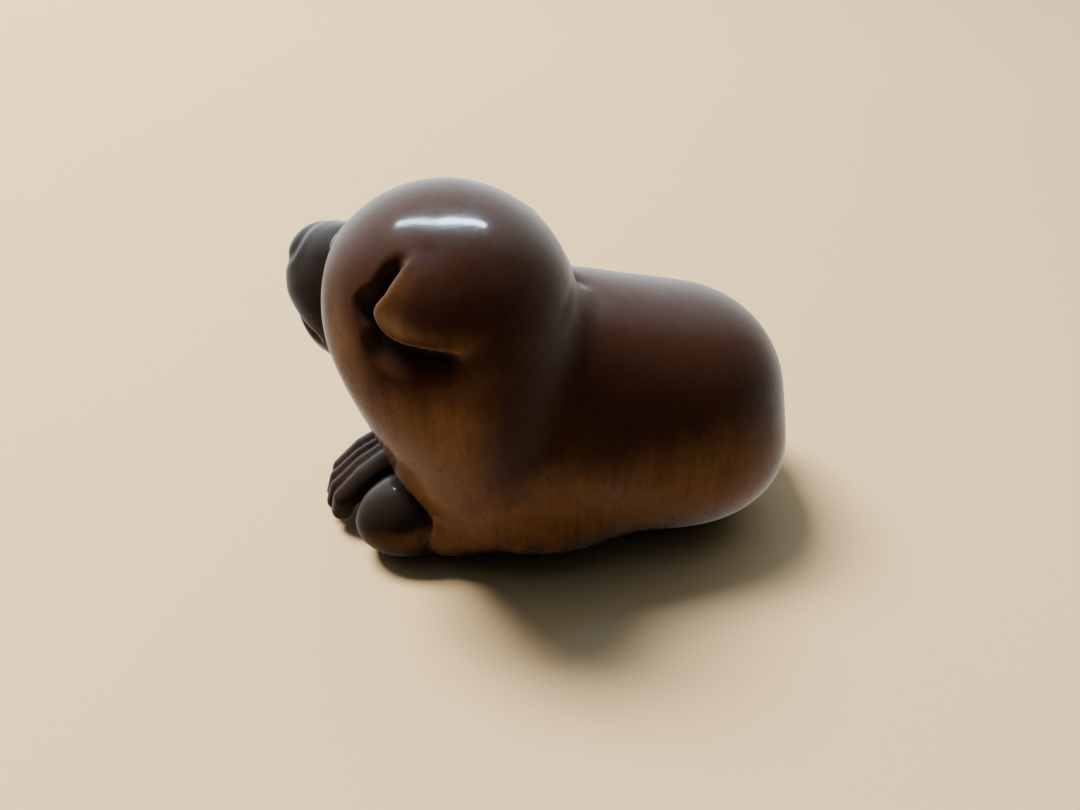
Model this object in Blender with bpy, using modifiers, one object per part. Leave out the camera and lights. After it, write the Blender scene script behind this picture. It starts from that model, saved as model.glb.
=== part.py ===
"""A carved boxwood puppy, crouched with its head turned to its right: a pocket-sized toggle carving.

The puppy faces -Y, its left side is +X and it rests on Z = 0. One block of wood is the whole animal. Each eye
is a separate peg of dark horn, pressed into a drilled socket. A tunnel for a cord runs between two holes
underneath.

Every mass is a ball with its own radii, placed in millimetres. Those of the head are placed in the head's own
frame, whose origin is the skull's centre and whose -Y is the way the face looks. Small details sit on a perch:
a frame at the same origin, turned so that its -Y points out of the skull at an azimuth and an elevation.
"""

import math

import bmesh
import bpy
from mathutils import Euler, Matrix, Vector

MM = 0.001

# Driving dimensions, in millimetres and degrees.
SPINE_SHIFT = Vector((1.87, 0.81, 0.0))  # centres the finished carving on the origin
SKULL_CENTRE = Vector((-0.2, -8.4, 18.9))
HEAD_YAW = -50.0  # negative turns the face to the puppy's right
HEAD_PITCH = 6.0  # positive lifts the muzzle
EYE_AZIMUTH = 20.0
EYE_ELEVATION = 22.0
EYE_RADIUS = 1.0
EYE_SEAT = 7.4  # from the skull's centre to the bottom of the peg
EYE_TOP = 9.1  # from the skull's centre to the crown of the peg
EYE_FIT = 0.15  # gap around the peg and below it
CORD_HOLE_RADII = (1.6, 2.2)
CORD_HOLE_Y = (-2.5, 9.0)
CORD_TUNNEL_DEPTH = 5.0
SKIN_SHARE = 0.1  # part of the fine skin's triangles that the finished block keeps
TOE_SPREAD = 24.0  # turn between neighbouring toe grooves
EYE_DOME = 0.5  # height of the peg's domed crown
EYE_BEVEL = 0.15
EYE_SIDES = 24
DOME_STEPS = 4
BALL_SIDES = 32
BALL_RINGS = 16
FLOOR_SIZE = 80.0  # side of the block that cuts the underside flat
TUNNEL_SIDES = 20
TUNNEL_STEPS = 12

BODY = Matrix.Translation(SPINE_SHIFT)
HEAD = (
    Matrix.Translation(SPINE_SHIFT + SKULL_CENTRE)
    @ Matrix.Rotation(math.radians(HEAD_YAW), 4, "Z")
    @ Matrix.Rotation(math.radians(-HEAD_PITCH), 4, "X")
)

# Each mass is (centre, radii, turn in degrees).
TRUNK = [
    ((0.0, -7.1, 9.4), (8.8, 7.4, 9.6), (0, 0, 0)),  # chest
    ((0.0, 0.2, 9.8), (9.4, 10.8, 11.0), (0, 0, 0)),  # belly
    ((-0.2, 8.1, 8.9), (9.2, 9.8, 9.5), (0, 0, 0)),  # rump
    ((0.0, -5.2, 14.0), (8.2, 6.8, 7.6), (0, 0, 0)),  # neck
    ((0.2, -2.6, 3.6), (9.2, 11.4, 5.0), (0, 0, 0)),  # underside
]
SKULL = [
    ((0.3, 0.2, 0.3), (9.1, 8.9, 8.9), (0, 0, 0)),
    ((0.0, 1.4, -2.4), (8.5, 7.0, 7.4), (0, 0, 0)),
]
FACE = [
    ((0.0, -9.8, -1.9), (3.8, 5.0, 4.1), (0, 0, 0)),  # muzzle
    ((0.0, -10.5, -0.9), (3.1, 4.0, 2.9), (0, 0, 0)),  # bridge
    ((0.0, -8.7, -5.2), (3.2, 4.7, 3.0), (0, 0, 0)),  # jaw
]
PAD = ((1.5, -11.9, -3.0), (2.6, 3.3, 3.0), (0, 0, 0))
LIP = ((2.0, -9.5, -4.8), (2.5, 3.5, 2.9), (0, 0, 0))
THIGH = ((4.2, 9.8, 5.2), (4.6, 7.4, 5.4), (0, 0, 0))
HIND_FOOT = ((4.8, 10.0, 1.7), (2.0, 4.4, 1.9), (0, 0, 0))
NEAR_PAW = ((2.7, -12.9, 2.9), (2.9, 4.4, 3.3), (0, 0, 8))
FOREARM = ((4.0, -8.6, 2.8), (3.1, 5.2, 3.3), (0, 0, 10))
FAR_PAW = ((-1.9, -14.8, 3.0), (2.8, 4.6, 3.1), (0, 0, 8))
NOSE = ((0.0, -13.6, -1.0), (2.6, 2.2, 2.2), (0, 0, 0))

EAR_AT = (128.0, 40.0, 4.0)  # azimuth, elevation and roll of the perch
EAR = ((0.0, -7.4, 0.0), (4.6, 2.05, 3.5), (0, 0, 0))
HOLLOW = ((0.0, -9.3, 0.0), (4.0, 1.7, 4.4), (0, 0, 0))
HOLLOW_AT = (113.0, 25.0, 0.0)
FAR_HOLLOW = ((0.0, -9.3, 0.0), (2.6, 1.3, 3.2), (0, 0, 0))  # shallower, where the nape is close behind
FAR_HOLLOW_AT = (-98.0, 30.0, 0.0)

# The tail starts on the rump and lies along the right haunch: (centre, radius) of each bead.
TAIL = [
    ((-0.6, 15.6, 12.2), 1.3),
    ((-2.8, 16.4, 10.0), 1.6),
    ((-5.2, 15.2, 7.6), 1.6),
    ((-7.2, 13.0, 6.0), 1.4),
    ((-8.6, 10.2, 5.0), 1.1),
]


def clear_scene():
    for old in list(bpy.data.objects):
        bpy.data.objects.remove(old)


def collection(name):
    made = bpy.data.collections.new(name)
    bpy.context.scene.collection.children.link(made)
    return made


def perch(azimuth, elevation, roll=0.0):
    """A frame at the skull's centre whose -Y points out at these angles from the way the face looks."""
    return (
        HEAD
        @ Matrix.Rotation(math.radians(azimuth), 4, "Z")
        @ Matrix.Rotation(math.radians(-elevation), 4, "X")
        @ Matrix.Rotation(math.radians(roll), 4, "Y")
    )


def placed(mass, frame):
    """The matrix that turns a unit ball into this mass, in metres."""
    centre, radii, turn = mass
    return (
        Matrix.Scale(MM, 4)
        @ frame
        @ Matrix.Translation(centre)
        @ Euler([math.radians(a) for a in turn]).to_matrix().to_4x4()
        @ Matrix.Diagonal((*radii, 1))
    )


def mirrored(mass):
    """The same mass on the other side of its frame's YZ plane."""
    (x, y, z), radii, (rx, ry, rz) = mass
    return ((-x, y, z), radii, (rx, -ry, -rz))


def both(mass):
    return [mass, mirrored(mass)]


def both_perches(at):
    azimuth, elevation, roll = at
    return [perch(azimuth, elevation, roll), perch(-azimuth, elevation, -roll)]


def between(first, second, share):
    """A bead part of the way from one bead to the next."""
    (start, thick), (end, thin) = first, second
    centre = Vector(start).lerp(Vector(end), share)
    radius = thick + (thin - thick) * share
    return (centre, (radius,) * 3, (0, 0, 0))


def chain(beads, steps=6):
    """Balls along a line of beads, close enough to melt into one smooth limb."""
    return [between(a, b, i / steps) for a, b in zip(beads, beads[1:]) for i in range(steps + 1)]


def finish(mesh, name, group):
    data = bpy.data.meshes.new(name)
    mesh.to_mesh(data)
    mesh.free()
    made = bpy.data.objects.new(name, data)
    group.objects.link(made)
    return made


def clay(name, masses, group, kept=None):
    """One object that holds these (mass, frame) balls, and an earlier object's finished mesh too."""
    mesh = bmesh.new()
    if kept is not None:
        graph = bpy.context.evaluated_depsgraph_get()
        mesh.from_object(kept, graph)
        bpy.data.objects.remove(kept)
    for mass, frame in masses:
        at = placed(mass, frame)
        bmesh.ops.create_uvsphere(mesh, u_segments=BALL_SIDES, v_segments=BALL_RINGS, radius=1, matrix=at)
    return finish(mesh, name, group)


def hide(obj):
    obj.hide_render = True
    obj.display_type = "WIRE"
    return obj


def fuse(obj, voxel, passes):
    """Melts the object's overlapping shapes into one skin and softens their joins."""
    melt = obj.modifiers.new("melt", "REMESH")
    melt.mode = "VOXEL"
    melt.voxel_size = voxel * MM
    soften = obj.modifiers.new("soften", "SMOOTH")
    soften.factor = 0.5
    soften.iterations = passes


def cut(obj, tool):
    trim = obj.modifiers.new("cut " + tool.name, "BOOLEAN")
    trim.operation = "DIFFERENCE"
    trim.solver = "EXACT"
    trim.object = tool


def toe_grooves():
    """Thin blades that split the front of the reaching paw into four toes."""
    x, y, z = FAR_PAW[0]
    blades = []
    for step in (-1, 0, 1):
        fan = BODY @ Matrix.Translation((x, y, z)) @ Matrix.Rotation(math.radians(step * TOE_SPREAD), 4, "Z")
        blades.append((((0.0, -4.4, 0.4), (0.35, 2.4, 2.4), (0, 0, 0)), fan))
    return blades


def rod(mesh, start, end, radius, sides):
    """A closed cylinder between two points, in millimetres."""
    start, end = Vector(start), Vector(end)
    along = end - start
    at = Matrix.Translation((start + end) * 0.5 * MM) @ along.to_track_quat("Z", "Y").to_matrix().to_4x4()
    bmesh.ops.create_cone(
        mesh,
        cap_ends=True,
        segments=sides,
        radius1=radius * MM,
        radius2=radius * MM,
        depth=along.length * MM,
        matrix=at,
    )


def floor_cutter(group):
    """Everything below the plane the puppy rests on."""
    mesh = bmesh.new()
    size = FLOOR_SIZE * MM
    bmesh.ops.create_cube(mesh, size=size, matrix=Matrix.Translation((0, 0, -size / 2)))
    return hide(finish(mesh, "floor", group))


def cord_tunnel(group):
    """A bent tunnel: a ring bored upwards through the belly, wide at one mouth and narrow at the other."""
    first, second = CORD_HOLE_Y
    middle = (first + second) / 2
    reach = (second - first) / 2
    mesh = bmesh.new()
    path = []
    for step in range(TUNNEL_STEPS + 1):
        turn = math.pi * step / TUNNEL_STEPS
        share = step / TUNNEL_STEPS
        radius = CORD_HOLE_RADII[0] + (CORD_HOLE_RADII[1] - CORD_HOLE_RADII[0]) * share
        centre = SPINE_SHIFT + Vector((0, middle - reach * math.cos(turn), CORD_TUNNEL_DEPTH * math.sin(turn)))
        slope = Vector((0, reach * math.sin(turn), CORD_TUNNEL_DEPTH * math.cos(turn))).normalized()
        path.append((centre, slope, radius))
    start, slope, radius = path[0]
    path.insert(0, (start - slope, slope, radius))
    end, slope, radius = path[-1]
    path.append((end + slope, slope, radius))
    rings = []
    for centre, slope, radius in path:
        across = Vector((1, 0, 0))
        up = slope.cross(across)
        ring = []
        for side in range(TUNNEL_SIDES):
            angle = 2 * math.pi * side / TUNNEL_SIDES
            point = centre + across * (radius * math.cos(angle)) + up * (radius * math.sin(angle))
            ring.append(mesh.verts.new(point * MM))
        rings.append(ring)
    for low, high in zip(rings, rings[1:]):
        for side in range(TUNNEL_SIDES):
            after = (side + 1) % TUNNEL_SIDES
            mesh.faces.new((low[side], low[after], high[after], high[side]))
    mesh.faces.new(rings[0])
    mesh.faces.new(rings[-1])
    bmesh.ops.recalc_face_normals(mesh, faces=mesh.faces)
    return hide(finish(mesh, "cord tunnel", group))


def eye_socket(name, at, group):
    mesh = bmesh.new()
    bottom = at @ Vector((0, EYE_FIT - EYE_SEAT, 0))
    top = at @ Vector((0, -EYE_TOP - 1, 0))
    rod(mesh, bottom, top, EYE_RADIUS + EYE_FIT, EYE_SIDES)
    return hide(finish(mesh, name, group))


def eye(name, at, group):
    """A peg with a domed crown, turned about its own axis."""
    shoulder = EYE_TOP - EYE_DOME
    outline = [(0.0, EYE_SEAT), (EYE_RADIUS - EYE_BEVEL, EYE_SEAT), (EYE_RADIUS, EYE_SEAT + EYE_BEVEL)]
    for step in range(DOME_STEPS + 1):
        turn = math.pi / 2 * step / DOME_STEPS
        outline.append((EYE_RADIUS * math.cos(turn), shoulder + EYE_DOME * math.sin(turn)))
    mesh = bmesh.new()
    line = [mesh.verts.new(at @ Vector((across, -out, 0)) * MM) for across, out in outline]
    edges = [mesh.edges.new(pair) for pair in zip(line, line[1:])]
    axis = (at.to_3x3() @ Vector((0, -1, 0))).normalized()
    bmesh.ops.spin(
        mesh,
        geom=line + edges,
        cent=at.translation * MM,
        axis=axis,
        angle=2 * math.pi,
        steps=EYE_SIDES,
        use_merge=True,
    )
    bmesh.ops.remove_doubles(mesh, verts=mesh.verts, dist=1e-6)
    bmesh.ops.recalc_face_normals(mesh, faces=mesh.faces)
    return finish(mesh, name, group)


def material(name, colour, roughness):
    made = bpy.data.materials.new(name)
    made.use_nodes = True
    shader = made.node_tree.nodes["Principled BSDF"]
    shader.inputs["Base Color"].default_value = (*colour, 1)
    shader.inputs["Roughness"].default_value = roughness
    shader.inputs["Metallic"].default_value = 0
    return made


def carve_block(puppy, tools):
    """The whole animal: masses melted together in rounds, then drilled and cut flat underneath."""
    obj = clay("round 1", [(m, BODY) for m in TRUNK] + [(m, HEAD) for m in SKULL], puppy)
    fuse(obj, 0.6, 22)
    second = [(m, HEAD) for m in [*FACE, *both(PAD), *both(LIP)]] + [(m, BODY) for m in both(THIGH)]
    obj = clay("round 2", second, puppy, obj)
    fuse(obj, 0.5, 10)
    limbs = [NEAR_PAW, FAR_PAW, *both(FOREARM), *both(HIND_FOOT), *chain(TAIL)]
    third = [(m, BODY) for m in limbs] + [(NOSE, HEAD)]
    obj = clay("round 3", third, puppy, obj)
    fuse(obj, 0.35, 4)
    places = [(HOLLOW, perch(*HOLLOW_AT)), (FAR_HOLLOW, perch(*FAR_HOLLOW_AT))]
    hollows = clay("ear hollows", places, tools)
    cut(obj, hide(hollows))
    toes = clay("toe grooves", toe_grooves(), tools)
    cut(obj, hide(toes))
    obj = clay("round 4", [(EAR, at) for at in both_perches(EAR_AT)], puppy, obj)
    fuse(obj, 0.3, 2)
    thin = obj.modifiers.new("fewer triangles", "DECIMATE")
    thin.ratio = SKIN_SHARE
    obj = clay("carved_puppy", [], puppy, obj)
    cut(obj, floor_cutter(tools))
    cut(obj, cord_tunnel(tools))
    return obj


def main():
    clear_scene()
    puppy = collection("puppy")
    tools = collection("cutters")
    wood = material("stained_boxwood", (0.075, 0.028, 0.012), 0.28)
    horn = material("dark_horn", (0.012, 0.008, 0.006), 0.12)
    block = carve_block(puppy, tools)
    eyes = both_perches((EYE_AZIMUTH, EYE_ELEVATION, 0.0))
    for name, at in zip(("left_eye", "right_eye"), eyes):
        cut(block, eye_socket(name + " socket", at, tools))
        eye(name, at, puppy).data.materials.append(horn)
    block.data.materials.append(wood)


main()
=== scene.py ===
"""The look of the carved puppy: a polished, stained boxwood figure with two inlaid horn eyes.

The figure is sculpted as one distance field in millimetres, in the part's own frame: smooth masses are melted
together, creases are pressed in where they meet, and the relief of the face and the ears is laid on top. The
field is then meshed and every vertex is pulled onto it.
"""

import math

import bpy
import numpy as np
from mathutils import Matrix, Vector


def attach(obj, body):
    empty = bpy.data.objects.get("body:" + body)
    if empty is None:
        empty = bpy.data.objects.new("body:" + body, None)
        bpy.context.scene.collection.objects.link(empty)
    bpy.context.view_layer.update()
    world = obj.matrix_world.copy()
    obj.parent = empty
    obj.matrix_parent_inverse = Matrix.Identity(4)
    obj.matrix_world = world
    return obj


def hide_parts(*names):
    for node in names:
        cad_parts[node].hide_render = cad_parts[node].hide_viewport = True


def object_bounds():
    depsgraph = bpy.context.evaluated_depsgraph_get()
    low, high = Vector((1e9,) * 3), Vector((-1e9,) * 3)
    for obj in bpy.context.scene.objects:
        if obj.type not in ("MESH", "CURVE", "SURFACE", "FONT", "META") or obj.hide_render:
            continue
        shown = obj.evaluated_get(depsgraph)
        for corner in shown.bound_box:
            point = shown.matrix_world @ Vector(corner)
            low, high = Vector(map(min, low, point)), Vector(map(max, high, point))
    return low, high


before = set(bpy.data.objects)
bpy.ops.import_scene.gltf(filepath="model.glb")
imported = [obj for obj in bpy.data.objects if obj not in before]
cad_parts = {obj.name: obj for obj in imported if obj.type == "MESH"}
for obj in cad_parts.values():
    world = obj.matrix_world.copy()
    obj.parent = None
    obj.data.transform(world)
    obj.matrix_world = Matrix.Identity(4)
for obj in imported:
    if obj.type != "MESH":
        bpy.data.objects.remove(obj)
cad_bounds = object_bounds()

MM = 0.001
GRID = 0.215  # mm between samples of the field
COARSE = 4  # fine steps in one coarse step
MARGIN = 1.2  # mm of empty grid round the figure
PULL_ROUNDS = 4  # times that every vertex is drawn onto the surface

# The same posture as the part: where the spine's line runs, and how the head sits on it.
SPINE = np.array([1.87, 0.81, 0.0])
SKULL = np.array([-0.2, -8.4, 18.9])
HEAD_YAW = math.radians(-50.0)
HEAD_PITCH = math.radians(6.0)

# The eyes: where they sit on the skull, in degrees, and their pegs, in mm from the skull's centre.
EYE_AZIMUTH = 20.0
EYE_ELEVATION = 22.0
EYE_RADIUS = 1.0
SOCKET_GAP = 0.05
SOCKET_FLOOR = 7.3
PEG_FOOT = 7.4
PEG_SHOULDER = 8.75
PEG_CROWN = 0.6


# ---------------------------------------------------------------- distance-field tools


def smooth_min(a, b, k):
    """The union of two shapes, melted together over a width k."""
    h = np.maximum(k - np.abs(a - b), 0.0) / k
    return np.minimum(a, b) - h * h * k * 0.25


def smooth_max(a, b, k):
    """What two shapes share, with the corner between them rounded over a width k."""
    return -smooth_min(-a, -b, k)


def step(low, high, x):
    """0 at low, 1 at high, and smooth between; low may be the larger."""
    t = np.clip((x - low) / (high - low), 0.0, 1.0)
    return t * t * (3.0 - 2.0 * t)


def bell(x, width):
    return np.exp(-((x / width) ** 2))


def creased(a, b, depth, width):
    """Both shapes, with a groove pressed in along the line where they meet."""
    return np.minimum(a, b) + depth * bell(a - b, width)


def turn_z(degrees):
    c, s = math.cos(math.radians(degrees)), math.sin(math.radians(degrees))
    return np.array([[c, -s, 0.0], [s, c, 0.0], [0.0, 0.0, 1.0]])


def ball(p, centre, radii, turn=None):
    """Roughly the distance to an ellipsoid, exact enough near its surface."""
    q = p - np.asarray(centre, dtype=float)
    if turn is not None:
        q = q @ turn
    r = np.asarray(radii, dtype=float)
    k0 = np.sqrt(((q / r) ** 2).sum(-1))
    k1 = np.sqrt(((q / (r * r)) ** 2).sum(-1))
    return k0 * (k0 - 1.0) / np.maximum(k1, 1e-6)


def melt(p, masses, so_far=None):
    """Ball-shaped masses, as (centre, radii, softness), each melted into what came before it."""
    for centre, radii, softness in masses:
        piece = ball(p, centre, radii)
        so_far = piece if so_far is None else smooth_min(so_far, piece, softness)
    return so_far


def limb(p, beads):
    """A rounded limb through a line of (x, y, z, radius) beads."""
    best = None
    for a, b in zip(beads, beads[1:]):
        start = np.array(a[:3])
        along = np.array(b[:3]) - start
        q = p - start
        t = np.clip((q @ along) / (along @ along), 0.0, 1.0)
        d = np.sqrt(((q - t[:, None] * along) ** 2).sum(-1)) - (a[3] + (b[3] - a[3]) * t)
        best = d if best is None else np.minimum(best, d)
    return best


def mirror_x(p):
    return p * np.array([-1.0, 1.0, 1.0])


def folded(p):
    """The points with their right half laid over the left, for shapes that repeat on both sides."""
    return np.concatenate([np.abs(p[:, :1]), p[:, 1:]], axis=1)


# ---------------------------------------------------------------- the figure

# The columns are the head's own X, Y and Z.
HEAD_AXES = np.array(Matrix.Rotation(HEAD_YAW, 3, "Z") @ Matrix.Rotation(-HEAD_PITCH, 3, "X"))


def head_space(p):
    return (p - SKULL) @ HEAD_AXES


EAR_TIP = (96.0, 30.0)  # azimuth and elevation of the ear's lowest front corner, in degrees
EAR_SCALE = 9.3 * math.pi / 180.0  # mm per degree, 9.3 mm out from the skull's centre
FLAP_HEIGHT = 0.55
FAR_FLAP = 0.15  # the right ear lies flatter: its share of that height
EAR_LIP = 0.10
HOLLOW_DEPTH = 1.05


def ear_map(q):
    """Flat coordinates on the side of the skull, in mm: rearwards and upwards from the ear's tip."""
    r = np.sqrt((q * q).sum(-1)) + 1e-9
    azimuth = np.degrees(np.arctan2(np.abs(q[:, 0]), -q[:, 1]))
    elevation = np.degrees(np.arcsin(np.clip(q[:, 2] / r, -1.0, 1.0)))
    u = EAR_SCALE * np.cos(np.radians(elevation)) * (azimuth - EAR_TIP[0])
    v = EAR_SCALE * (elevation - EAR_TIP[1])
    return u, v, r


def ear_edge(u, v):
    """Distance in front of or below the ear's free edge: negative on the ear."""
    front = 0.75 * step(0.0, 1.6, v) + 0.1 * np.maximum(v - 1.6, 0.0) - u
    below = -1.0 - v - 0.12 * u
    corner = 2.6
    return smooth_max(front, below, corner)


def ear_relief(q):
    """Height of the drop ear, less the depth of the hollow beside it, and that depth alone."""
    u, v, r = ear_map(q)
    d = ear_edge(u, v)
    on_side = step(3.0, 5.0, r)
    flap = step(0.3, -0.45, d)
    inward = np.maximum(-d, 0.0)
    rear = step(7.0, 2.5, u)
    top = step(4.6, 1.2, v)
    raised = FLAP_HEIGHT * flap * np.exp(-inward / 3.0) * rear * top * np.where(q[:, 0] > 0.0, 1.0, FAR_FLAP)
    lip = EAR_LIP * bell(d + 0.5, 0.45) * rear * top
    # The hollow widens in front of the flap, above its tip, and most of all under its rear.
    angle = np.arctan2(-(v + 0.9), -(u - 0.3))
    width = 0.95 + 0.6 * bell(angle + 0.95, 0.5) + 1.6 * bell(angle - 2.3, 0.6)
    bowl = 0.5 + 0.5 * np.cos(math.pi * np.clip(d / width, 0.0, 1.0) ** 1.5)
    depth = HOLLOW_DEPTH * bowl * (1.0 - flap)
    depth = depth * step(4.0, 2.2, v) * step(7.0, 5.6, u)
    return (raised + lip - depth) * on_side, depth * on_side


def eye_axis(side):
    a, e = math.radians(EYE_AZIMUTH), math.radians(EYE_ELEVATION)
    return np.array([side * math.sin(a) * math.cos(e), -math.cos(a) * math.cos(e), math.sin(e)])


def from_eye(q):
    """(distance off the nearer eye's axis, distance along it) in the head's frame."""
    half = folded(q)
    axis = eye_axis(1)
    along = half @ axis
    off = np.sqrt(np.maximum((half * half).sum(-1) - along * along, 0.0))
    return off, along


def face_relief(q):
    """Eyelids, the dish each eye sits in, the mouth line and the groove under the nose."""
    x, y, z = np.abs(q[:, 0]), q[:, 1], q[:, 2]
    off, along = from_eye(q)
    front = step(6.5, 8.0, along)
    lids = 0.22 * bell(off - 1.45, 0.34) * front
    dish = -0.3 * bell(off, 0.9) * front
    mouth_z = -4.3 - 0.12 * (y + 15.0) + 0.35 * np.maximum(-y - 14.6, 0.0)
    mouth = -0.32 * bell(z - mouth_z, 0.24) * step(-8.6, -10.0, y)
    philtrum = -0.3 * bell(x, 0.22) * step(-12.5, -13.5, y) * step(-4.4, -3.9, z) * step(-1.6, -2.2, z)
    return lids + dish + mouth + philtrum


# The head's masses in its own axes, mirrored where they stand beside the middle.
SKULL_MASSES = [
    ((0.32, 0.2, 0.3), (8.95, 8.85, 8.9), None),
    ((0.0, 1.4, -2.4), (8.4, 7.0, 7.2), 2.0),
]
MUZZLE_MASSES = [
    ((0.0, -9.8, -1.9), (3.6, 4.9, 3.9), None),  # the snout
    ((0.0, -8.7, -5.2), (3.0, 4.6, 2.9), 1.2),  # the jaw
    ((0.0, -10.4, -0.9), (3.0, 3.9, 2.8), 1.0),  # the bridge
    ((1.5, -11.8, -3.0), (2.5, 3.2, 2.9), 1.0),  # the whisker pads
    ((2.0, -9.5, -4.8), (2.4, 3.5, 2.8), 1.0),  # the lips
]
# Flat places on the skull: the way each one faces, and how far out it lies.
CHEEK_FLAT = (np.array([0.49, -0.80, -0.34]), 7.85)
THROAT_FLAT = (np.array([0.62, -0.52, -0.59]), 9.0)


def head_field(p):
    """The head with its face, ears and eye sockets; also the head's own axes and the ear hollow's depth."""
    q = head_space(p)
    half = folded(q)
    skull = melt(q, SKULL_MASSES)
    for facing, out in (CHEEK_FLAT, THROAT_FLAT):
        skull = smooth_max(skull, half @ facing - out, 3.0)
    relief, hollow = ear_relief(q)
    d = smooth_min(skull - relief, melt(half, MUZZLE_MASSES), 1.6)
    nose = ball(q, (0.0, -13.4, -1.15), (2.6, 2.15, 2.2))
    nose_groove = 0.16 * bell(d - nose, 0.3) * step(-3.4, -1.6, q[:, 2])
    d = smooth_min(d, nose, 1.3) + nose_groove
    nostril = ball(half, (1.2, -15.3, -1.2), (0.45, 0.6, 0.38))
    d = smooth_max(d, -nostril, 0.25)
    d = d - face_relief(q)
    off, along = from_eye(q)
    socket = np.maximum(off - (EYE_RADIUS + SOCKET_GAP), SOCKET_FLOOR - along)
    return np.maximum(d, -socket), q, hollow


TOES = 4
TOE_PITCH = 1.1


def toe_beads(index):
    """One toe of the reaching paw, from the wrist over the knuckle to the tip."""
    side = (index - (TOES - 1) / 2) * TOE_PITCH
    return [
        (-2.7 + side * 0.75, -13.2, 5.2, 1.5),
        (-2.1 + side * 0.95, -16.0, 4.2, 1.25),
        (-1.6 + side * 1.02, -18.3 + abs(side) * 0.2, 2.9, 1.05),
        (-1.6 + side * 0.96, -18.9 + abs(side) * 0.3, 1.6, 0.95),
    ]


def far_paw_field(p):
    """The right forepaw, reaching forwards past the left one."""
    paw = ball(p, (-2.4, -13.8, 2.9), (2.7, 3.9, 3.0), turn_z(8))
    for index in range(TOES):
        paw = creased(paw, limb(p, toe_beads(index)), 0.16, 0.28)
    return paw


# The tail lies along the right haunch, from its root to its tip.
TAIL = [
    (-0.6, 15.7, 12.3, 1.1),
    (-2.6, 16.5, 10.2, 1.5),
    (-5.2, 15.3, 7.7, 1.6),
    (-7.4, 12.8, 6.0, 1.4),
    (-8.7, 9.6, 5.0, 1.0),
]
CORD_MOUTHS = ((-2.5, 1.6), (9.0, 2.2))  # where each cord hole opens along the belly, and its radius
TUNNEL_DEPTH = 5.0
TUNNEL_STEPS = 10


def tunnel_beads():
    """The half-ring that joins the two cord holes inside the belly."""
    (first, small), (second, large) = CORD_MOUTHS
    middle, reach = (first + second) / 2, (second - first) / 2
    beads = []
    for i in range(TUNNEL_STEPS + 1):
        turn = math.pi * i / TUNNEL_STEPS
        radius = small + (large - small) * i / TUNNEL_STEPS
        beads.append((0.0, middle - reach * math.cos(turn), TUNNEL_DEPTH * math.sin(turn), radius))
    return beads


TRUNK_MASSES = [
    ((0, -7.1, 9.4), (8.6, 7.2, 9.4), None),  # the chest
    ((0, 0.2, 9.8), (9.2, 10.6, 10.6), 2.5),  # the barrel
    ((-0.2, 8.1, 8.9), (9.0, 9.6, 9.3), 3.0),  # the rump
    ((0, -5.2, 14.0), (8.0, 6.6, 7.4), 3.0),  # the shoulders
    ((0.2, -1.8, 3.6), (9.0, 10.4, 4.9), 2.0),  # the belly
]
HAUNCH = ((4.2, 9.6, 5.2), (4.4, 7.1, 5.2), 3.2)
HIND_PAW = ((4.8, 10.0, 1.7), (2.1, 4.4, 1.9))
FOREARM = ((4.0, -8.2, 2.6), (3.0, 4.8, 3.0))
NEAR_PAW = ((2.8, -12.4, 2.9), (3.2, 4.9, 3.7))


def trunk_field(p):
    trunk = melt(p, TRUNK_MASSES)
    for side in (p, mirror_x(p)):
        trunk = melt(side, [HAUNCH], trunk)
    return trunk


def figure_parts(p):
    """Every field that the finished surface, its stain and its painted light and shade are made from, at
    points in the part's frame.
    """
    p = p - SPINE
    mirrored = mirror_x(p)
    height = p[:, 2]
    head, q, hollow = head_field(p)
    front = step(0.0, -9.0, p[:, 1])
    body = smooth_min(head, trunk_field(p), 1.5 + 3.0 * front)
    body = smooth_min(body, np.minimum(ball(p, *HIND_PAW), ball(mirrored, *HIND_PAW)), 0.7)
    tail = limb(p, TAIL)
    tail_groove = 0.12 * bell(body - tail, 0.35) * step(16.8, 14.0, height)
    body = smooth_min(body, tail, 0.5) + tail_groove
    arms = np.minimum(ball(p, *FOREARM, turn_z(10)), ball(mirrored, *FOREARM, turn_z(10)))
    body = smooth_min(body, arms, 1.4)
    near = ball(p, *NEAR_PAW, turn_z(8))
    far = far_paw_field(p)
    paws = creased(near, far, 0.2, 0.35)
    # The paws meet the chest in a crease, which melts away where they rest on the ground.
    crease = 0.22 * step(0.6, 1.8, height) * bell(body - paws, 0.35)
    whole = smooth_min(body, paws, 0.1 + 0.9 * step(1.8, 0.4, height)) + crease
    whole = smooth_max(whole, -height, 0.5)
    whole = smooth_max(whole, -limb(p, tunnel_beads()), 0.3)
    return {"whole": whole, "head": q, "hollow": hollow, "near": near, "far": far}


def figure(p):
    return figure_parts(p)["whole"]


# ---------------------------------------------------------------- meshing


def sample(shape, low, high, spacing):
    """The field on a grid, worked out finely only near the surface."""
    wide = spacing * COARSE
    counts = [int(math.ceil((b - a) / wide)) + 1 for a, b in zip(low, high)]
    axes = [a + wide * np.arange(n) for a, n in zip(low, counts)]
    nodes = np.stack(np.meshgrid(*axes, indexing="ij"), -1).reshape(-1, 3)
    rough = shape(nodes).reshape(counts)
    near = np.abs(rough) < wide * 2.2
    fine_counts = [(n - 1) * COARSE + 1 for n in counts]
    pick = [np.minimum(np.arange(n) // COARSE, c - 1) for n, c in zip(fine_counts, counts)]
    spread = near.copy()
    for axis in range(3):
        spread |= np.roll(near, -1, axis) | np.roll(near, 1, axis)
    mask = spread[np.ix_(*pick)]
    field = np.where(rough[np.ix_(*pick)] < 0, -wide, wide)
    where = np.argwhere(mask)
    values = np.empty(len(where))
    block = 200000
    for start in range(0, len(where), block):
        part = where[start : start + block]
        values[start : start + block] = shape(np.asarray(low) + part * spacing)
    field[mask] = values
    return field


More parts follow.
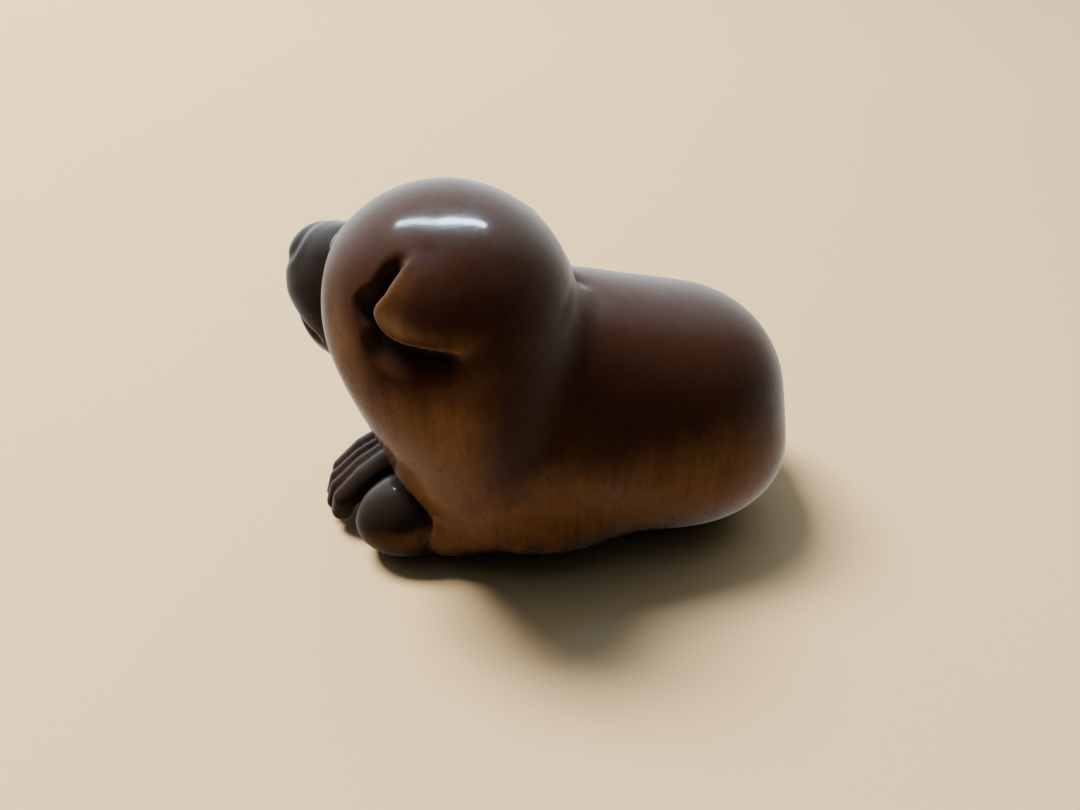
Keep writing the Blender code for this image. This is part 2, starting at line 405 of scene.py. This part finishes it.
def surface_net(field, low, spacing):
    """(vertices, quads) of the zero level of the field: one vertex per crossed cell."""
    inside = field < 0
    cells = tuple(n - 1 for n in field.shape)
    count = np.zeros(cells, np.int8)
    for i in (0, 1):
        for j in (0, 1):
            for k in (0, 1):
                count += inside[i : i + cells[0], j : j + cells[1], k : k + cells[2]]
    active = (count > 0) & (count < 8)
    number = np.full(cells, -1, np.int64)
    number[active] = np.arange(active.sum())
    total = int(active.sum())
    sums = np.zeros((total, 3))
    hits = np.zeros(total)
    quads = []
    for axis in range(3):
        near = np.take(field, range(field.shape[axis] - 1), axis)
        far = np.take(field, range(1, field.shape[axis]), axis)
        crossed = np.argwhere((near < 0) != (far < 0))
        a = near[tuple(crossed.T)]
        b = far[tuple(crossed.T)]
        point = crossed.astype(float)
        point[:, axis] += a / (a - b)
        one, two = [other for other in range(3) if other != axis]
        around = []
        for back_one, back_two in ((0, 0), (1, 0), (1, 1), (0, 1)):
            cell = crossed.copy()
            cell[:, one] -= back_one
            cell[:, two] -= back_two
            cell_number = number[tuple(cell.T)]
            around.append(cell_number)
            hits += np.bincount(cell_number, minlength=total)
            for k in range(3):
                sums[:, k] += np.bincount(cell_number, weights=point[:, k], minlength=total)
        ring = np.stack(around, -1)
        outward = (a < 0) if axis != 1 else (a > 0)
        quads.append(np.where(outward[:, None], ring[:, ::-1], ring))
    return np.asarray(low) + sums / hits[:, None] * spacing, np.concatenate(quads)


def slope(shape, points, reach):
    """The field's gradient, from samples that far to each side."""
    grad = np.empty_like(points)
    for axis in range(3):
        offset = np.zeros(3)
        offset[axis] = reach
        grad[:, axis] = (shape(points + offset) - shape(points - offset)) / (2 * reach)
    return grad


def pull_onto(shape, points, rounds, limit):
    """Moves points onto the zero level, each by at most the limit in a round."""
    for _ in range(rounds):
        grad = slope(shape, points, 0.02)
        size = np.maximum((grad * grad).sum(-1), 0.25)
        move = grad * (shape(points) / size)[:, None]
        length = np.sqrt((move * move).sum(-1))
        points = points - move * np.minimum(1.0, limit / np.maximum(length, 1e-9))[:, None]
    return points


def new_mesh(name, points, faces):
    """A smooth-shaded object from arrays of points in metres and of faces with one number of corners."""
    data = bpy.data.meshes.new(name)
    data.vertices.add(len(points))
    data.vertices.foreach_set("co", np.asarray(points, dtype=np.float32).ravel())
    data.loops.add(faces.size)
    data.loops.foreach_set("vertex_index", faces.ravel().astype(np.int32))
    data.polygons.add(len(faces))
    data.polygons.foreach_set("loop_start", np.arange(0, faces.size, faces.shape[1], dtype=np.int32))
    data.update(calc_edges=True)
    data.validate()
    data.polygons.foreach_set("use_smooth", np.ones(len(data.polygons), dtype=bool))
    obj = bpy.data.objects.new(name, data)
    bpy.context.scene.collection.objects.link(obj)
    return obj


def paint(obj, name, values):
    layer = obj.data.attributes.new(name, "FLOAT", "POINT")
    layer.data.foreach_set("value", np.asarray(values, dtype=np.float32))


# ---------------------------------------------------------------- where the stain, the wear and the painted light and shade lie


def brush_waver(points):
    """A brush's unsteady hand: how far the edges of the stain, and of the painted light and shade, stray, in
    mm.
    """
    x, y, z = points.T
    return 0.35 * np.sin(x * 1.7 + z * 1.1) + 0.25 * np.sin(y * 2.3)


def stain_and_hollow_shade(points, parts):
    """Where the wood is near-black: stain brushed on the muzzle, the toes and the near wrist, and painted
    shade in the ear hollow.
    """
    q = parts["head"]
    waver = brush_waver(points)
    muzzle = step(-7.4, -8.8, q[:, 1] + waver * 0.6) * step(-6.6, -1.6, q[:, 2] + waver)
    toes = step(0.7, 0.1, parts["far"])
    wrist = 0.85 * step(0.7, 0.1, parts["near"]) * step(2.4, 4.6, points[:, 2] + waver * 0.6)
    # Painted shade: the ear hollow darkens with its depth.
    hollow = 0.75 * step(0.3, 1.2, parts["hollow"])
    return np.clip(np.maximum.reduce([muzzle, toes, wrist, hollow]), 0.0, 1.0)


def crease_depth(points, parts):
    """How deep each point lies in a crease or a hollow, from 0 on an open surface to 1: where painted shade
    darkens the wood.
    """
    reach = 0.9
    grad = slope(figure, points, 0.25)
    outward = grad / np.maximum(np.linalg.norm(grad, axis=1), 1e-6)[:, None]
    crease = np.clip((reach - figure(points + outward * reach)) / reach, 0.0, 1.0)
    return np.clip(np.maximum(crease, parts["hollow"] / 1.2), 0.0, 1.0)


def amber_wear_and_painted_light(points, parts):
    """Where the wood is painted lighter amber: low down, the chest and the cheeks as painted light, and the
    ears' rims as wear with a painted highlight; painted shade darkens it again near the floor.
    """
    q = parts["head"]
    waver = brush_waver(points)
    height = points[:, 2] + waver
    # Painted light: the lower flank is lighter, and painted shade darkens it again at the very bottom.
    low = 0.9 * step(14.5, 5.5, height) * (0.1 + 0.9 * step(0.8, 5.5, height))
    # Painted light on the chest, darker near the floor as painted shade.
    chest = 0.85 * step(-2.5, -9.5, points[:, 1]) * step(23.0, 16.0, height)
    chest = chest * (0.4 + 0.6 * step(0.5, 4.0, height))
    on_head = step(15.0, 8.5, np.linalg.norm(q + np.array([0.0, 2.0, 0.0]), axis=1))
    # Painted light: the left, near side of the head is lighter than the right.
    left_side = 0.65 + 0.35 * step(-4.0, 4.0, q[:, 0])
    # Painted reflection: the cheeks are lighter where they mirror the floor.
    cheek = step(7.0, -1.0, q[:, 2] + 0.15 * q[:, 1] + waver) * step(7.5, -0.5, q[:, 1])
    cheek = cheek * on_head * left_side
    u, v, _ = ear_map(q)
    # The ears' rims: wear, with a painted highlight.
    rim = 0.5 * bell(ear_edge(u, v) + 0.6, 1.1) * step(9.0, 6.0, u) * step(4.6, 2.0, v)
    off_muzzle = 1.0 - 0.8 * step(-7.0, -8.5, q[:, 1]) * step(-10.0, -8.0, q[:, 2])
    wear_and_painted_light = np.clip(np.maximum.reduce([low, chest * off_muzzle, cheek * off_muzzle, rim]), 0.0, 1.0)
    return wear_and_painted_light * (1.0 - 0.4 * step(0.7, 0.1, parts["near"]))


def sculpt_figure():
    """The carved figure, with the places of its stain, of the painted shade in its creases, and of its wear
    and painted light stored on its vertices.
    """
    low = np.asarray(cad_bounds[0]) / MM - MARGIN
    high = np.asarray(cad_bounds[1]) / MM + MARGIN
    field = sample(figure, low, high, GRID)
    points, faces = surface_net(field, low, GRID)
    points = pull_onto(figure, points, PULL_ROUNDS, GRID * 0.5)
    obj = new_mesh("puppy_figure", points * MM, faces)
    parts = figure_parts(points)
    # The stain, with painted shade in the ear hollow.
    paint(obj, "stain", stain_and_hollow_shade(points, parts))
    # Crease depth: painted shade darkens the wood there, and its polish is duller.
    paint(obj, "hollow", crease_depth(points, parts))
    # Wear and painted light, which lighten the wood to amber.
    paint(obj, "wear_and_painted_light", amber_wear_and_painted_light(points, parts))
    return obj


# ---------------------------------------------------------------- the eyes


def revolve(name, outline, sides, place):
    """A closed mesh turned about the placing matrix's -Y, from (radius, distance out) pairs in mm."""
    inner = outline[1:-1]
    angles = 2 * math.pi * np.arange(sides) / sides
    rings = [np.stack([r * np.cos(angles), np.full(sides, -out), r * np.sin(angles)], -1) for r, out in inner]
    points = np.concatenate([[[0.0, -outline[0][1], 0.0]], *rings, [[0.0, -outline[-1][1], 0.0]]])
    last = len(points) - 1
    faces = []
    for side in range(sides):
        after = (side + 1) % sides
        faces.append((0, 1 + after, 1 + side))
        for ring in range(len(inner) - 1):
            base = 1 + ring * sides
            faces.append((base + side, base + after, base + sides + after, base + sides + side))
        base = 1 + (len(inner) - 1) * sides
        faces.append((base + side, base + after, last))
    mesh = bpy.data.meshes.new(name)
    mesh.from_pydata([place @ Vector(p) * MM for p in points], [], faces)
    mesh.validate()
    mesh.polygons.foreach_set("use_smooth", [True] * len(mesh.polygons))
    obj = bpy.data.objects.new(name, mesh)
    bpy.context.scene.collection.objects.link(obj)
    return obj


def eye_place(side):
    """The frame of one eye: its origin at the skull's centre, and -Y out through the eye."""
    turn = (
        Matrix.Rotation(HEAD_YAW, 4, "Z")
        @ Matrix.Rotation(-HEAD_PITCH, 4, "X")
        @ Matrix.Rotation(math.radians(side * EYE_AZIMUTH), 4, "Z")
        @ Matrix.Rotation(math.radians(-EYE_ELEVATION), 4, "X")
    )
    return Matrix.Translation(SPINE + SKULL) @ turn


def horn_eye(name, side):
    """A peg with a chamfered foot and a domed crown."""
    steps = 12
    outline = [(0.0, PEG_FOOT), (0.85, PEG_FOOT), (0.97, PEG_FOOT + 0.1), (EYE_RADIUS, PEG_FOOT + 0.2)]
    for i in range(steps):
        turn = math.pi / 2 * i / steps
        outline.append((EYE_RADIUS * math.cos(turn), PEG_SHOULDER + PEG_CROWN * math.sin(turn)))
    outline.append((0.0, PEG_SHOULDER + PEG_CROWN))
    return revolve(name, outline, 48, eye_place(side))


# ---------------------------------------------------------------- materials


class Graph:
    """Short ways to add and link shader nodes."""

    def __init__(self, name):
        self.material = bpy.data.materials.new(name)
        self.material.use_nodes = True
        self.nodes = self.material.node_tree.nodes
        self.links = self.material.node_tree.links
        self.shader = self.nodes["Principled BSDF"]

    def add(self, kind, **settings):
        node = self.nodes.new(kind)
        for key, value in settings.items():
            setattr(node, key, value)
        return node

    def wire(self, source, target):
        self.links.new(source, target)

    def put(self, node, values):
        for key, value in values.items():
            if isinstance(value, bpy.types.NodeSocket):
                self.wire(value, node.inputs[key])
            else:
                node.inputs[key].default_value = value
        return node

    def spot(self, scale, turn=(0, 0, 0)):
        """Object coordinates in millimetres, stretched by the scale."""
        place = self.add("ShaderNodeTexCoord")
        lay = self.add("ShaderNodeMapping")
        per_metre = tuple(share / MM for share in scale)
        self.put(lay, {"Vector": place.outputs["Object"], "Scale": per_metre, "Rotation": turn})
        return lay.outputs["Vector"]

    def noise(self, vector, scale=1.0, detail=2.0, roughness=0.5, distortion=0.0):
        made = self.add("ShaderNodeTexNoise")
        values = {"Vector": vector, "Scale": scale, "Detail": detail, "Roughness": roughness}
        self.put(made, {**values, "Distortion": distortion})
        return made.outputs["Fac"]

    def ramp(self, value, low, high, start=0.0, end=1.0):
        made = self.add("ShaderNodeMapRange", interpolation_type="SMOOTHSTEP")
        values = {"Value": value, "From Min": low, "From Max": high, "To Min": start, "To Max": end}
        self.put(made, values)
        return made.outputs["Result"]

    def math(self, operation, first, second=0.0):
        made = self.add("ShaderNodeMath", operation=operation)
        self.put(made, {0: first, 1: second})
        return made.outputs[0]

    def mix(self, share, first, second):
        made = self.add("ShaderNodeMix", data_type="RGBA")
        for key, value in ((0, share), (6, first), (7, second)):
            if isinstance(value, bpy.types.NodeSocket):
                self.wire(value, made.inputs[key])
            else:
                made.inputs[key].default_value = value
        return made.outputs[2]

    def attribute(self, name):
        return self.add("ShaderNodeAttribute", attribute_name=name).outputs["Fac"]

    def bump(self, height, strength, distance, normal=None):
        made = self.add("ShaderNodeBump")
        self.put(made, {"Height": height, "Strength": strength, "Distance": distance * MM})
        if normal is not None:
            self.wire(normal, made.inputs["Normal"])
        return made.outputs["Normal"]


AMBER = (0.138, 0.068, 0.0270, 1)
BROWN = (0.032, 0.0125, 0.0066, 1)
UMBER = (0.018, 0.0075, 0.0040, 1)
BLACK = (0.010, 0.0080, 0.0076, 1)


def stained_wood():
    """Polished boxwood: brown stain turned amber by wear and by painted light, near-black where stain is
    brushed on and as painted shade in the ear hollow, painted darker as shade in the creases, and dull in the
    creases.
    """
    g = Graph("stained_boxwood")
    grain_turn = (0.22, 0.12, 0.0)
    mottle = g.noise(g.spot((0.16, 0.16, 0.12)), 1.0, 4.0, 0.55)
    streaks = g.noise(g.spot((1.9, 1.9, 0.12), grain_turn), 1.0, 3.0, 0.6, 0.4)
    fibres = g.noise(g.spot((9.0, 9.0, 0.5), grain_turn), 1.0, 2.0, 0.6)
    pores = g.noise(g.spot((7.0, 7.0, 1.5), grain_turn), 1.0, 1.0, 0.5)
    pore_mask = g.ramp(pores, 0.66, 0.74)
    stain = g.attribute("stain")
    hollow = g.attribute("hollow")
    wear_and_painted_light = g.attribute("wear_and_painted_light")

    # Wear and painted light lift the brown towards amber.
    wear_and_light_share = g.math("ADD", wear_and_painted_light, g.ramp(mottle, 0.3, 0.7, 0.16, -0.16))
    colour = g.mix(g.ramp(wear_and_light_share, 0.1, 0.9), BROWN, AMBER)
    colour = g.mix(g.ramp(streaks, 0.42, 0.75, 0.0, 0.24), colour, UMBER)
    colour = g.mix(g.ramp(fibres, 0.5, 0.75, 0.0, 0.18), colour, UMBER)
    colour = g.mix(g.math("MULTIPLY", pore_mask, 0.4), colour, BLACK)
    # Near-black: the brushed stain, and painted shade in the ear hollow.
    edge = g.math("ADD", stain, g.ramp(fibres, 0.3, 0.7, -0.06, 0.06))
    colour = g.mix(g.ramp(edge, 0.25, 0.75, 0.0, 0.92), colour, BLACK)
    # Painted shade: the creases and hollows are darkened towards black.
    colour = g.mix(g.ramp(hollow, 0.15, 0.9, 0.0, 0.72), colour, BLACK)

    handled = g.noise(g.spot((0.5, 0.5, 0.5)), 1.0, 5.0, 0.65)
    rough = g.math("ADD", g.ramp(handled, 0.35, 0.7, 0.26, 0.42), g.math("MULTIPLY", pore_mask, 0.2))
    hairline = g.noise(g.spot((1.1, 0.5, 1.6), (0.9, 0.4, 0.2)), 1.0, 3.0, 0.7, 1.2)
    scratch = g.ramp(g.math("ABSOLUTE", g.math("SUBTRACT", hairline, 0.5)), 0.0, 0.004, 1.0, 0.0)
    scratch = g.math("MULTIPLY", scratch, g.ramp(handled, 0.5, 0.62))

    tool_depth = 0.10
    tool_marks = g.noise(g.spot((0.42, 0.42, 0.3)), 1.0, 1.5, 0.4)
    normal = g.bump(tool_marks, 0.5, tool_depth)
    normal = g.bump(fibres, 0.22, 0.012, normal)
    normal = g.bump(g.math("MULTIPLY", pore_mask, -1.0), 0.35, 0.02, normal)
    coat_normal = g.bump(scratch, -0.35, 0.02, g.bump(tool_marks, 0.3, tool_depth))
    g.put(
        g.shader,
        {
            "Base Color": colour,
            "Roughness": rough,
            "Normal": normal,
            "Coat Weight": g.ramp(hollow, 0.1, 0.7, 0.9, 0.1),
            "Coat Roughness": 0.12,
            "Coat Normal": coat_normal,
            "Coat IOR": 1.30,
            "Specular IOR Level": 0.05,
        },
    )
    return g.material


def polished_horn():
    """Near-black horn in thin wavy layers, under a bright polish."""
    g = Graph("dark_horn")
    layers = g.noise(g.spot((3.0, 0.8, 3.0)), 1.0, 3.0, 0.6, 0.6)
    colour = g.mix(g.ramp(layers, 0.4, 0.7), (0.006, 0.0045, 0.004, 1), (0.020, 0.012, 0.008, 1))
    haze = g.noise(g.spot((2.0, 2.0, 2.0)), 1.0, 4.0, 0.6)
    g.put(
        g.shader,
        {
            "Base Color": colour,
            "Roughness": g.ramp(haze, 0.3, 0.7, 0.05, 0.12),
            "Normal": g.bump(haze, 0.1, 0.01),
            "Coat Weight": 1.0,
            "Coat Roughness": 0.04,
        },
    )
    return g.material


def floor_paint():
    """Plain warm beige, faintly uneven."""
    g = Graph("floor")
    soft = g.noise(g.spot((0.004, 0.004, 0.004)), 1.0, 2.0, 0.5)
    colour = g.mix(g.ramp(soft, 0.3, 0.7), (0.50, 0.35, 0.180, 1), (0.53, 0.375, 0.195, 1))
    g.put(g.shader, {"Base Color": colour, "Roughness": 0.8, "Specular IOR Level": 0.2})
    return g.material


# ---------------------------------------------------------------- stage


def camera_only(obj):
    """Keeps the object out of the light and the reflections: it shows only behind the figure."""
    obj.visible_diffuse = False
    obj.visible_glossy = False
    obj.visible_transmission = False
    obj.visible_shadow = False


def ring_points(radii, sides, height):
    """Points round an ellipse, at one height."""
    angles = 2 * math.pi * np.arange(sides) / sides
    return np.stack([np.cos(angles) * radii[0], np.sin(angles) * radii[1], np.full(sides, height)], -1)


def backdrop():
    """A plain pale wall right round the floor, in metres."""
    sides, reach, foot, top = 96, 0.86, -0.01, 1.2
    points = np.concatenate([ring_points((reach, reach), sides, height) for height in (foot, top)])
    side = np.arange(sides)
    after = (side + 1) % sides
    wall = new_mesh("backdrop", points, np.stack([side, side + sides, after + sides, after], -1))
    g = Graph("pale_wall")
    g.put(
        g.shader,
        {
            "Base Color": (0, 0, 0, 1),
            "Roughness": 1.0,
            "Specular IOR Level": 0.0,
            "Emission Color": (0.95, 0.90, 0.82, 1),
            "Emission Strength": 1.0,
        },
    )
    wall.data.materials.append(g.material)
    camera_only(wall)
    return wall


def contact_shade(centre, radii):
    """A flat dark ellipse just above the floor, with a faded rim, that only the polish shows; in mm."""
    sides, lift = 48, 0.02
    side = np.arange(sides)
    faces = np.stack([np.zeros_like(side), 1 + side, 1 + (side + 1) % sides], -1)
    points = np.concatenate([[[0.0, 0.0, 0.0]], ring_points(radii, sides, 0.0)])
    shade = new_mesh("floor_shade", points * MM, faces)
    shade.location = Vector((*centre, lift)) * MM
    g = Graph("contact_shade")
    out = g.add("ShaderNodeVectorMath", operation="LENGTH")
    g.wire(g.spot((1.0 / radii[0], 1.0 / radii[1], 1.0)), out.inputs[0])
    g.put(
        g.shader,
        {
            "Base Color": (0.09, 0.065, 0.04, 1),
            "Roughness": 1.0,
            "Specular IOR Level": 0.0,
            "Alpha": g.ramp(out.outputs["Value"], 0.5, 1.0, 1.0, 0.0),
        },
    )
    shade.data.materials.append(g.material)
    shade.visible_camera = False
    shade.visible_diffuse = False
    shade.visible_shadow = False
    return shade


def lay_floor():
    """The floor, which the polish doesn't mirror, the wall round it, and the shade that it does."""
    side, half = 24, 0.9
    axis = np.linspace(-half, half, side + 1)
    xs, ys = np.meshgrid(axis, axis, indexing="ij")
    points = np.stack([xs, ys, np.zeros_like(xs)], -1).reshape(-1, 3)
    i, j = np.meshgrid(np.arange(side), np.arange(side), indexing="ij")
    corner = (i * (side + 1) + j).ravel()
    faces = np.stack([corner, corner + side + 1, corner + side + 2, corner + 1], -1)
    floor = new_mesh("floor", points, faces)
    floor.data.materials.append(floor_paint())
    floor.visible_glossy = False
    backdrop()
    contact_shade((1.5, -1.0), (16.5, 25.5))


AIM = Vector((0, 0, 12)) * MM  # the middle of the figure


def soft_bar(name, first, last, width, power, colour):
    """A long, narrow soft light between two points, facing the figure."""
    first, last = Vector(first), Vector(last)
    middle = (first + last) / 2
    data = bpy.data.lights.new(name, "AREA")
    data.shape = "RECTANGLE"
    data.size = (last - first).length
    data.size_y = width
    data.energy = power
    data.color = colour
    lamp = bpy.data.objects.new(name, data)
    bpy.context.scene.collection.objects.link(lamp)
    along = (last - first).normalized()
    away = (middle - AIM).normalized()
    across = away.cross(along).normalized()
    away = along.cross(across)
    pose = Matrix((along, across, away)).transposed().to_4x4()
    pose.translation = middle
    lamp.matrix_world = pose
    return lamp


def sky(tree, colour, lean, low, high, dim, bright):
    """A background that brightens smoothly from one side of the room to the other."""
    place = tree.nodes.new("ShaderNodeTexCoord")
    across = tree.nodes.new("ShaderNodeVectorMath")
    across.operation = "DOT_PRODUCT"
    across.inputs[1].default_value = lean
    fade = tree.nodes.new("ShaderNodeMapRange")
    fade.interpolation_type = "SMOOTHSTEP"
    for key, value in (("From Min", low), ("From Max", high), ("To Min", dim), ("To Max", bright)):
        fade.inputs[key].default_value = value
    glow = tree.nodes.new("ShaderNodeBackground")
    glow.inputs["Color"].default_value = (*colour, 1)
    tree.links.new(place.outputs["Generated"], across.inputs[0])
    tree.links.new(across.outputs["Value"], fade.inputs["Value"])
    tree.links.new(fade.outputs["Result"], glow.inputs["Strength"])
    return glow


COOL = (0.62, 0.84, 1.0)
DAYLIGHT = (1.0, 0.97, 0.92)
BLUE_SKY = (0.62, 0.82, 1.0)
WARM_ROOM = (1.0, 0.90, 0.76)
STRIP_WIDTH = 0.0062
STRIP_BEND = (-0.017, -0.008, 0.087)
STRIP_ENDS = (
    ("strip_left", (-0.037, -0.043, 0.087), 0.085),
    ("strip_right", (-0.021, 0.032, 0.087), 0.145),
)


def light_studio():
    """A bent strip close above, a soft key from behind the figure, and a room that is bright behind it."""
    for name, end, power in STRIP_ENDS:
        strip = soft_bar(name, end, STRIP_BEND, STRIP_WIDTH, power, COOL)
        strip.visible_camera = False
        strip.visible_diffuse = False
    key = soft_bar("key", (-0.30, -0.34, 0.50), (-0.24, -0.08, 0.56), 0.14, 15.5, DAYLIGHT)
    key.visible_glossy = False
    world = bpy.data.worlds.new("studio")
    bpy.context.scene.world = world
    world.use_nodes = True
    tree = world.node_tree
    tree.nodes.remove(tree.nodes["Background"])
    upper = sky(tree, BLUE_SKY, (-0.77, 0.05, 0.64), 0.35, 0.86, 0.03, 1.15)
    lower = sky(tree, WARM_ROOM, (-0.91, 0.22, -0.34), -0.7, 1.0, 0.0, 0.9)
    both = tree.nodes.new("ShaderNodeAddShader")
    tree.links.new(upper.outputs[0], both.inputs[0])
    tree.links.new(lower.outputs[0], both.inputs[1])
    tree.links.new(both.outputs[0], tree.nodes["World Output"].inputs["Surface"])


CAMERA_PITCH = math.radians(38.9)
CAMERA_TURN = math.radians(12.0)
CAMERA_LENS = 26.0
CAMERA_PLACE = Vector((48.37, -11.09, 48.0)) * MM


def aim_camera():
    """The camera looks down at the puppy's left side, level across the picture."""
    data = bpy.data.cameras.new("photo_view")
    data.sensor_width = 36.0
    data.lens = CAMERA_LENS
    data.clip_start = 0.002
    camera = bpy.data.objects.new("photo_view", data)
    bpy.context.scene.collection.objects.link(camera)
    ahead = Vector((-math.cos(CAMERA_TURN), math.sin(CAMERA_TURN), 0.0))
    look = ahead * math.cos(CAMERA_PITCH) - Vector((0, 0, 1)) * math.sin(CAMERA_PITCH)
    above = ahead * math.sin(CAMERA_PITCH) + Vector((0, 0, 1)) * math.cos(CAMERA_PITCH)
    right = look.cross(above)
    pose = Matrix((right, above, -look)).transposed().to_4x4()
    pose.translation = CAMERA_PLACE
    camera.matrix_world = pose
    bpy.context.scene.camera = camera


def main():
    figure_obj = sculpt_figure()
    figure_obj.data.materials.append(stained_wood())
    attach(figure_obj, "root")
    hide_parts("carved_puppy")
    horn = polished_horn()
    for name, side in (("left_eye", 1), ("right_eye", -1)):
        peg = horn_eye(name + "_peg", side)
        peg.data.materials.append(horn)
        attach(peg, "root")
        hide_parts(name)
    lay_floor()
    light_studio()
    aim_camera()


main()
